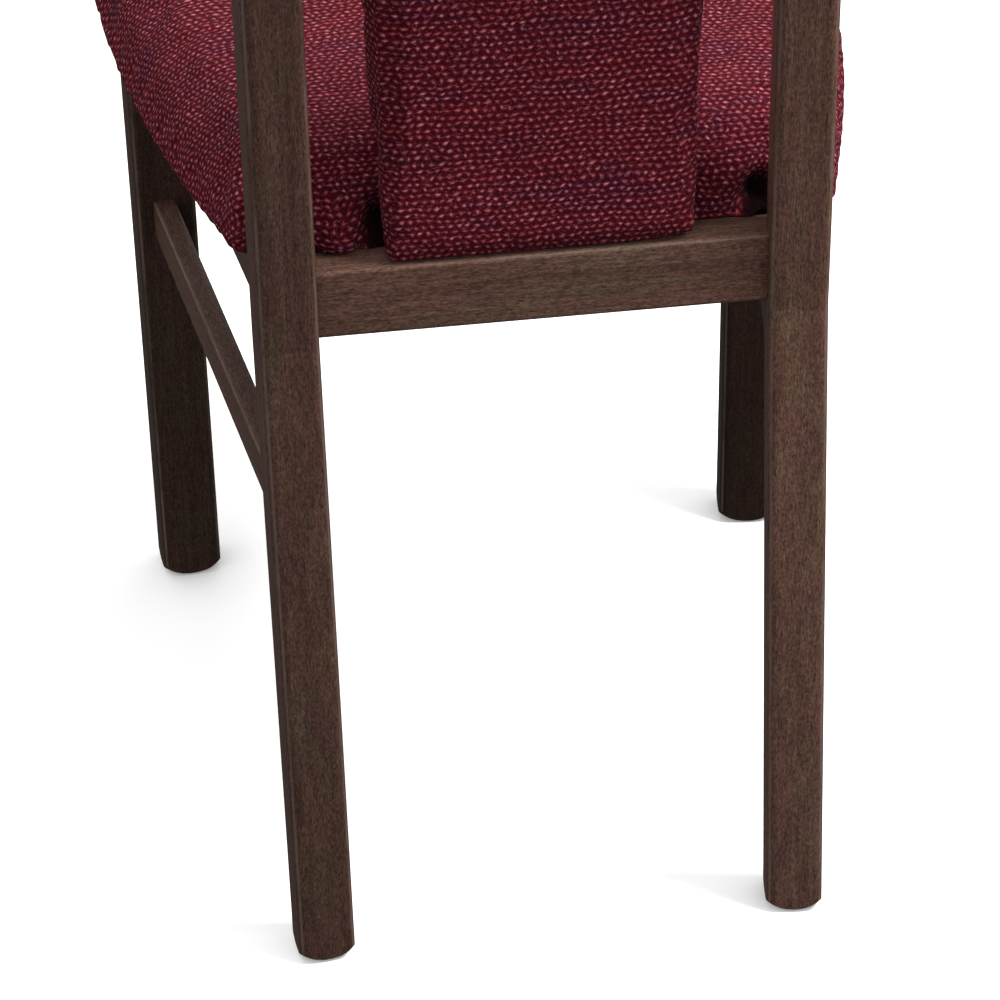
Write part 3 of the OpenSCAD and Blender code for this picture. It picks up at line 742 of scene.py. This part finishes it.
def rear_bulge(x):
    """Share of the bulge beside the panel: fuller near the left post and near the panel's right."""
    inner, outer = PANEL_HALF - 4 * MM, POST_INNER + 2 * MM
    share = np.clip((np.abs(x) - inner) / (outer - inner), 0, 1)
    leaning = np.where(x > 0, share ** 1.35, share ** 0.75)
    return np.sin(np.pi * leaning) ** 1.1


def corner_tuck(x):
    """Share of the hollow where the cloth is pulled in: at the panel's left, at the right post."""
    left = np.exp(-((x - PANEL_HALF + 1 * MM) / (8 * MM)) ** 2)
    right = np.exp(-((x + POST_INNER) / (11 * MM)) ** 2)
    return left + right


def low_rear(points):
    """The points along the lower rear edge of the seat, which rests on the rear rail."""
    low = points[:, 2] < RAIL_TOP + 3.5 * MM
    rear = points[:, 1] > SEAT_REAR - 12 * MM
    return low & rear & (np.abs(points[:, 0]) < POST_INNER + 14 * MM)


def shape_rear(points):
    """Bulges and hollows of the seat's rear edge. Returns the painted shade for the hollows, 1 where
    it is darkest.
    """
    height = points[:, 2] - RAIL_TOP
    bulge = rear_bulge(points[:, 0])
    tuck = corner_tuck(points[:, 0])
    middle = np.where(points[:, 0] > 0, BULGE_LEFT_AT, BULGE_RIGHT_AT)
    belly = np.exp(-((height - middle) / BULGE_SPREAD) ** 2)
    hollow = np.exp(-((height - TUCK_AT) / TUCK_SPREAD) ** 2)
    rearward = smooth_step(points[:, 1], SEAT_REAR - 34 * MM, SEAT_REAR - 3 * MM)
    points[:, 1] += (BULGE * bulge * belly - TUCK * tuck * hollow) * rearward
    beyond = smooth_step(np.abs(points[:, 0]), POST_INNER - 4 * MM, POST_INNER - 1.5 * MM)
    lip = TUCK_LIP + (TUCK_LIP_BY_POST - TUCK_LIP) * beyond
    edge = LOWEST_REAR + lip * np.minimum(tuck, 1)
    points[:, 1] = np.where(low_rear(points), np.maximum(points[:, 1], edge), points[:, 1])
    points[:, 1] = np.minimum(points[:, 1], SEAT_REAR + PRESSED + BULGE * bulge)
    # Painted shade mask: the cloth in the hollows is drawn near black, up to below their roof.
    below_roof = 1 - smooth_step(height, 12 * MM, 24 * MM)
    return smooth_step(tuck, 0.3, 0.8) * below_roof * rearward


def rest_seat(points):
    """Keeps the cushion above the rails, and its underside flat inside the turned-in hem."""
    points[:, 2] = np.maximum(points[:, 2], RAIL_TOP + 0.2 * MM)
    _, _, inner = nearest_on_loop(points[:, :2], seat_outline(SEAT_HEM))
    low = points[:, 2] < RAIL_TOP + 3 * MM
    points[:, 2] = np.where(inner & low, RAIL_TOP + 1.6 * MM, points[:, 2])


def dome_seat(points):
    """Raises the middle of the seat's top."""
    core = seat_outline(SEAT_ROLL_IN + 20 * MM)
    _, far, inside = nearest_on_loop(points[:, :2], core)
    on_top = points[:, 2] > RAIL_TOP + SEAT_SIDE
    lift = np.where(inside, smooth_step(far, -20 * MM, 90 * MM), 0)
    points[:, 2] += np.where(on_top, lift * SEAT_DOME, 0)


def make_seat():
    """The seat cushion, lofted, swollen as cloth and then pressed where it rests."""
    rings = [[(x, y, z) for x, y in seat_outline(inset)] for z, inset in seat_levels(SEAT_SHRINK)]
    seat = loft("seat_upholstery", rings)
    remesh(seat, SEAT_VOXEL)
    points = get_points(seat)
    stretch_down(points, RAIL_TOP, 12 * MM)
    dome_seat(points)
    set_points(seat, points)
    held = points[:, 2] < RAIL_TOP + 2.5 * MM
    swell(seat, held, np.where(held, 0, SEAT_SWELL))
    points = get_points(seat)
    shade = shape_rear(points)
    rest_seat(points)
    set_points(seat, points)
    # Painted shade for the hollows of the rear edge, read by the red weave.
    seat.data.attributes.new("hollow_painted_shade", "FLOAT", "POINT").data.foreach_set("value", shade)
    set_weave(seat, seat_weave(points))
    finish_padding(seat, ("seat_cover", "seat_foam"))


def finish_padding(obj, replaced):
    """Rounds a padded piece, covers it in the red weave, hides the pieces it replaces and attaches it
    to the root.
    """
    for polygon in obj.data.polygons:
        polygon.use_smooth = True
    subdivide(obj)
    obj.data.materials.append(MATERIALS["red_weave"])
    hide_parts(*replaced)
    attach(obj, "root")


# ---------- back panel ----------

def curve_point(depth, s):
    """(Y, Z) of a point depth behind the posts' centre line, at s along it from the floor."""
    if s <= CURVE_START:
        return POST_Y + depth, s
    a = (s - CURVE_START) / CURVE_RADIUS
    r = CURVE_RADIUS - depth
    return POST_Y + CURVE_RADIUS - r * math.cos(a), CURVE_START + r * math.sin(a)


def curve_place(points):
    """The inverse: depth behind the posts' centre line and distance along it, for each point."""
    y = points[:, 1] - POST_Y - CURVE_RADIUS
    z = points[:, 2] - CURVE_START
    angle = np.arctan2(z, -y)
    bent = z > 0
    depth = np.where(bent, CURVE_RADIUS - np.hypot(y, z), points[:, 1] - POST_Y)
    run = np.where(bent, CURVE_START + angle * CURVE_RADIUS, points[:, 2])
    return depth, run


def panel_section(s, shrink):
    """Half width, rear depth and front depth of the panel at s along the curve."""
    thick = PANEL_THIN + (PANEL_THICK - PANEL_THIN) * smooth_step(
        s, PANEL_STEP - 4 * MM, PANEL_STEP + 14 * MM)
    base_tuck = 2 * MM * (1 - smooth_step(s, PANEL_BASE, PANEL_BASE + 40 * MM))
    half = PANEL_HALF - shrink - base_tuck
    return half, -shrink, shrink - thick


def panel_ring(s, shrink, corner, squeeze):
    """Points around the panel at s, drawn in by squeeze where its ends round over."""
    half, rear, front = panel_section(s, shrink)
    half, rear, front = half - squeeze, rear - squeeze * 0.6, front + squeeze * 0.6
    r = min(corner, (rear - front) / 2 - 1 * MM)
    ring = []
    for cx, cy, start in ((half - r, rear - r, 0), (r - half, rear - r, 90),
                          (r - half, front + r, 180), (half - r, front + r, 270)):
        for k in range(7):
            a = math.radians(start + 15 * k)
            y, z = curve_point(cy + r * math.sin(a), s)
            ring.append((cx + r * math.cos(a), y, z))
    return ring


def panel_end(run):
    """How far the panel draws in as it rounds over at its bottom and top ends."""
    near = min(run - PANEL_BASE, curve_top() - run)
    radius = PANEL_BASE_RADIUS if run < PANEL_STEP else PANEL_END_RADIUS
    if near >= radius:
        return 0.0
    return radius - math.sqrt(max(radius ** 2 - (radius - near) ** 2, 0))


def curve_top():
    return CURVE_START + CURVE_RADIUS * math.asin((PANEL_TOP - CURVE_START) / CURVE_RADIUS)


def make_panel():
    """The back panel, lofted along the curve of the posts, swollen as cloth and then crowned."""
    low, high = PANEL_BASE + 0.5 * MM, curve_top() - 0.5 * MM
    rings = []
    for k in range(PANEL_RINGS + 1):
        s = low + (high - low) * k / PANEL_RINGS
        rings.append(panel_ring(s, PANEL_SHRINK, PANEL_CORNER, panel_end(s)))
    panel = loft("back_upholstery", rings)
    remesh(panel, PANEL_VOXEL)
    points = get_points(panel)
    stretch_down(points, PANEL_BASE + 0.2 * MM, 20 * MM)
    set_points(panel, points)
    depth, run = curve_place(points)
    held = (run < PANEL_BASE + PANEL_HELD) | (run > curve_top() - PANEL_HELD)
    front = depth < -PANEL_THIN / 2
    swell(panel, held, np.where(held, 0, np.where(front, PANEL_SWELL_FRONT, PANEL_SWELL_REAR)))
    points = get_points(panel)
    depth, run = curve_place(points)
    points = crown_panel(points, depth, run)
    set_points(panel, points)
    set_weave(panel, panel_weave(panel, points))
    finish_padding(panel, ("back_cover", "back_foam", "back_rear_pad"))


def crown_panel(points, depth, run):
    """Domes the front pad and, slightly, the rear face; draws the foot out and lifts one corner."""
    across = np.clip(1 - (points[:, 0] / PANEL_HALF) ** 2, 0, 1)
    low = smooth_step(run, PANEL_BASE, PANEL_BASE + PANEL_END_RUN)
    high = 1 - smooth_step(run, curve_top() - PANEL_END_RUN, curve_top())
    pad = smooth_step(run, PANEL_STEP, PANEL_STEP + PANEL_END_RUN) * high
    front = smooth_step(-depth, PANEL_THIN * 0.6, PANEL_THICK * 0.8)
    rear = smooth_step(depth, -PANEL_THIN * 0.6, -1 * MM)
    out = (PANEL_CROWN_REAR * across * low * high + PANEL_FOOT_OUT * (1 - low)) * rear
    out -= PANEL_CROWN_FRONT * front * across * pad
    tilt = np.where(run > CURVE_START, (run - CURVE_START) / CURVE_RADIUS, 0)
    points[:, 1] += out * np.cos(tilt)
    points[:, 2] -= out * np.sin(tilt)
    corner = smooth_step(-points[:, 0], 0.5 * PANEL_HALF, PANEL_HALF)
    foot = 1 - smooth_step(run, PANEL_BASE, PANEL_BASE + PANEL_END_RUN / 2)
    points[:, 2] += PANEL_CORNER_LIFT * corner * foot
    return points


def panel_weave(panel, points):
    """Weave coordinates per face corner. Rear cloth wraps sides and ends; the front is one piece."""
    depth, run = curve_place(points)
    index = np.empty(len(panel.data.loops), np.int32)
    panel.data.loops.foreach_get("vertex_index", index)
    weave = np.empty((len(index), 2))
    for polygon in panel.data.polygons:
        loops = list(polygon.loop_indices)
        corners = index[loops]
        a = max((run[corners].mean() - CURVE_START) / CURVE_RADIUS, 0)
        forward = Vector((0, -math.cos(a), math.sin(a)))
        end = polygon.normal.dot(Vector((0, math.sin(a), math.cos(a))))
        x, d, s = points[corners, 0], depth[corners], run[corners]
        if abs(end) > 0.6:
            weave[loops] = np.stack([x, s - np.sign(end) * d], axis=1)
        elif polygon.normal.dot(forward) > 0.6:
            weave[loops] = np.stack([x + 0.5, s], axis=1)
        elif abs(polygon.normal.x) > 0.6:
            side = np.sign(polygon.normal.x)
            weave[loops] = np.stack([side * (PANEL_HALF - d - 2 * MM), s], axis=1)
        else:
            weave[loops] = np.stack([x, s], axis=1)
    return weave


# ---------- dust cover ----------

def make_dust_cover():
    """Black cloth stretched under the seat board, sagging a little between the corner blocks."""
    outline = seat_outline(SHEET_INSET, 8)
    centre = Vector((0, sum(y for _, y in outline) / len(outline), 0))
    rings = SHEET_RINGS
    points, faces = [(centre.x, centre.y, 0)], []
    for j in range(1, rings + 1):
        for x, y in outline:
            points.append((x * j / rings, centre.y + (y - centre.y) * j / rings, 0))
    count = len(outline)
    for k in range(count):
        faces.append((0, 1 + k, 1 + (k + 1) % count))
    for j in range(rings - 1):
        for k in range(count):
            a, b = 1 + j * count + k, 1 + j * count + (k + 1) % count
            faces.append((a, a + count, b + count, b))
    top = RAIL_TOP + 0.75 * MM
    level = []
    for i, (x, y, _) in enumerate(points):
        share = 0 if i == 0 else ((i - 1) // count + 1) / rings
        sag = SHEET_SAG * (1 - share ** 2) + 0.15 * MM * noise.noise((x * 40, y * 40, 0))
        level.append((x, y, top - max(sag, 0) * (share < 0.999)))
    cover = new_object("seat_dust_sheet", level, faces)
    thick = cover.modifiers.new("cloth", "SOLIDIFY")
    thick.thickness = SHEET_THICK
    thick.offset = 0
    for polygon in cover.data.polygons:
        polygon.use_smooth = True
    cover.data.materials.append(MATERIALS["dust_cloth"])
    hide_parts("seat_dust_cover")
    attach(cover, "root")


# ---------- finishes of the CAD pieces ----------

def finish_node(node, material):
    obj = NODES[node]
    obj.data.materials.clear()
    obj.data.materials.append(material)


def finish_frame():
    """Gives every timber, board and fastening of the frame its material."""
    across = (1, 0, 0)
    upright = (0, 0, 1)
    left_side = (math.sin(SIDE_TILT), -math.cos(SIDE_TILT), 0)
    right_side = (-math.sin(SIDE_TILT), -math.cos(SIDE_TILT), 0)
    # The third column is painted light and shade: each timber is drawn lighter or darker as light
    # falls on it.
    timbers = (
        ("rear_post_left", upright, 0.82), ("rear_post_right", upright, 1.3),
        ("front_leg_left", upright, 0.52), ("front_leg_right", upright, 0.32),
        ("rear_seat_rail", across, 1.3), ("front_seat_rail", across, 0.9),
        ("crest_rail", across, 1.0),
        ("side_rail_left", left_side, 0.9), ("side_rail_right", right_side, 0.9),
        ("stretcher_left", left_side, 1.0), ("stretcher_right", right_side, 0.9),
    )
    for seed, (node, axis, depth) in enumerate(timbers, 1):
        turn = -TURN_OUT if node.endswith("right") else TURN_OUT
        finish_node(node, stained_wood("stain_" + node, axis, seed, depth, turn))
    # Painted shade: the corner blocks are drawn in the dark stain at 0.6, so that the hollows above
    # the rails look dark.
    for seed, place in enumerate(("rear_left", "rear_right", "front_left", "front_right"), 21):
        finish_node("corner_block_" + place, stained_wood("block_" + place, (1, 1, 0), seed, 0.6))
        finish_node("glide_" + place, MATERIALS["nylon"])
    for node, axis in (("rail_dowels", across), ("side_rail_dowels", (0, 1, 0)),
                       ("stretcher_dowels", (0, 1, 0)), ("crest_dowels", across),
                       ("back_dowels", upright)):
        finish_node(node, plain_wood("beech_" + node, axis, 31))
    for node in ("corner_block_screws", "seat_screws", "glide_nails"):
        finish_node(node, MATERIALS["steel"])
    for node in ("seat_board", "back_board"):
        finish_node(node, MATERIALS["plywood"])


MATERIALS = {
    "red_weave": red_weave("red_weave"),
    "dust_cloth": dust_cloth("black_dust_cloth"),
    "steel": zinc_steel("zinc_steel"),
    "nylon": moulded_nylon("brown_nylon"),
    "plywood": plywood("birch_plywood"),
}

make_camera()
make_studio()
finish_frame()
make_seat()
make_panel()
make_dust_cover()
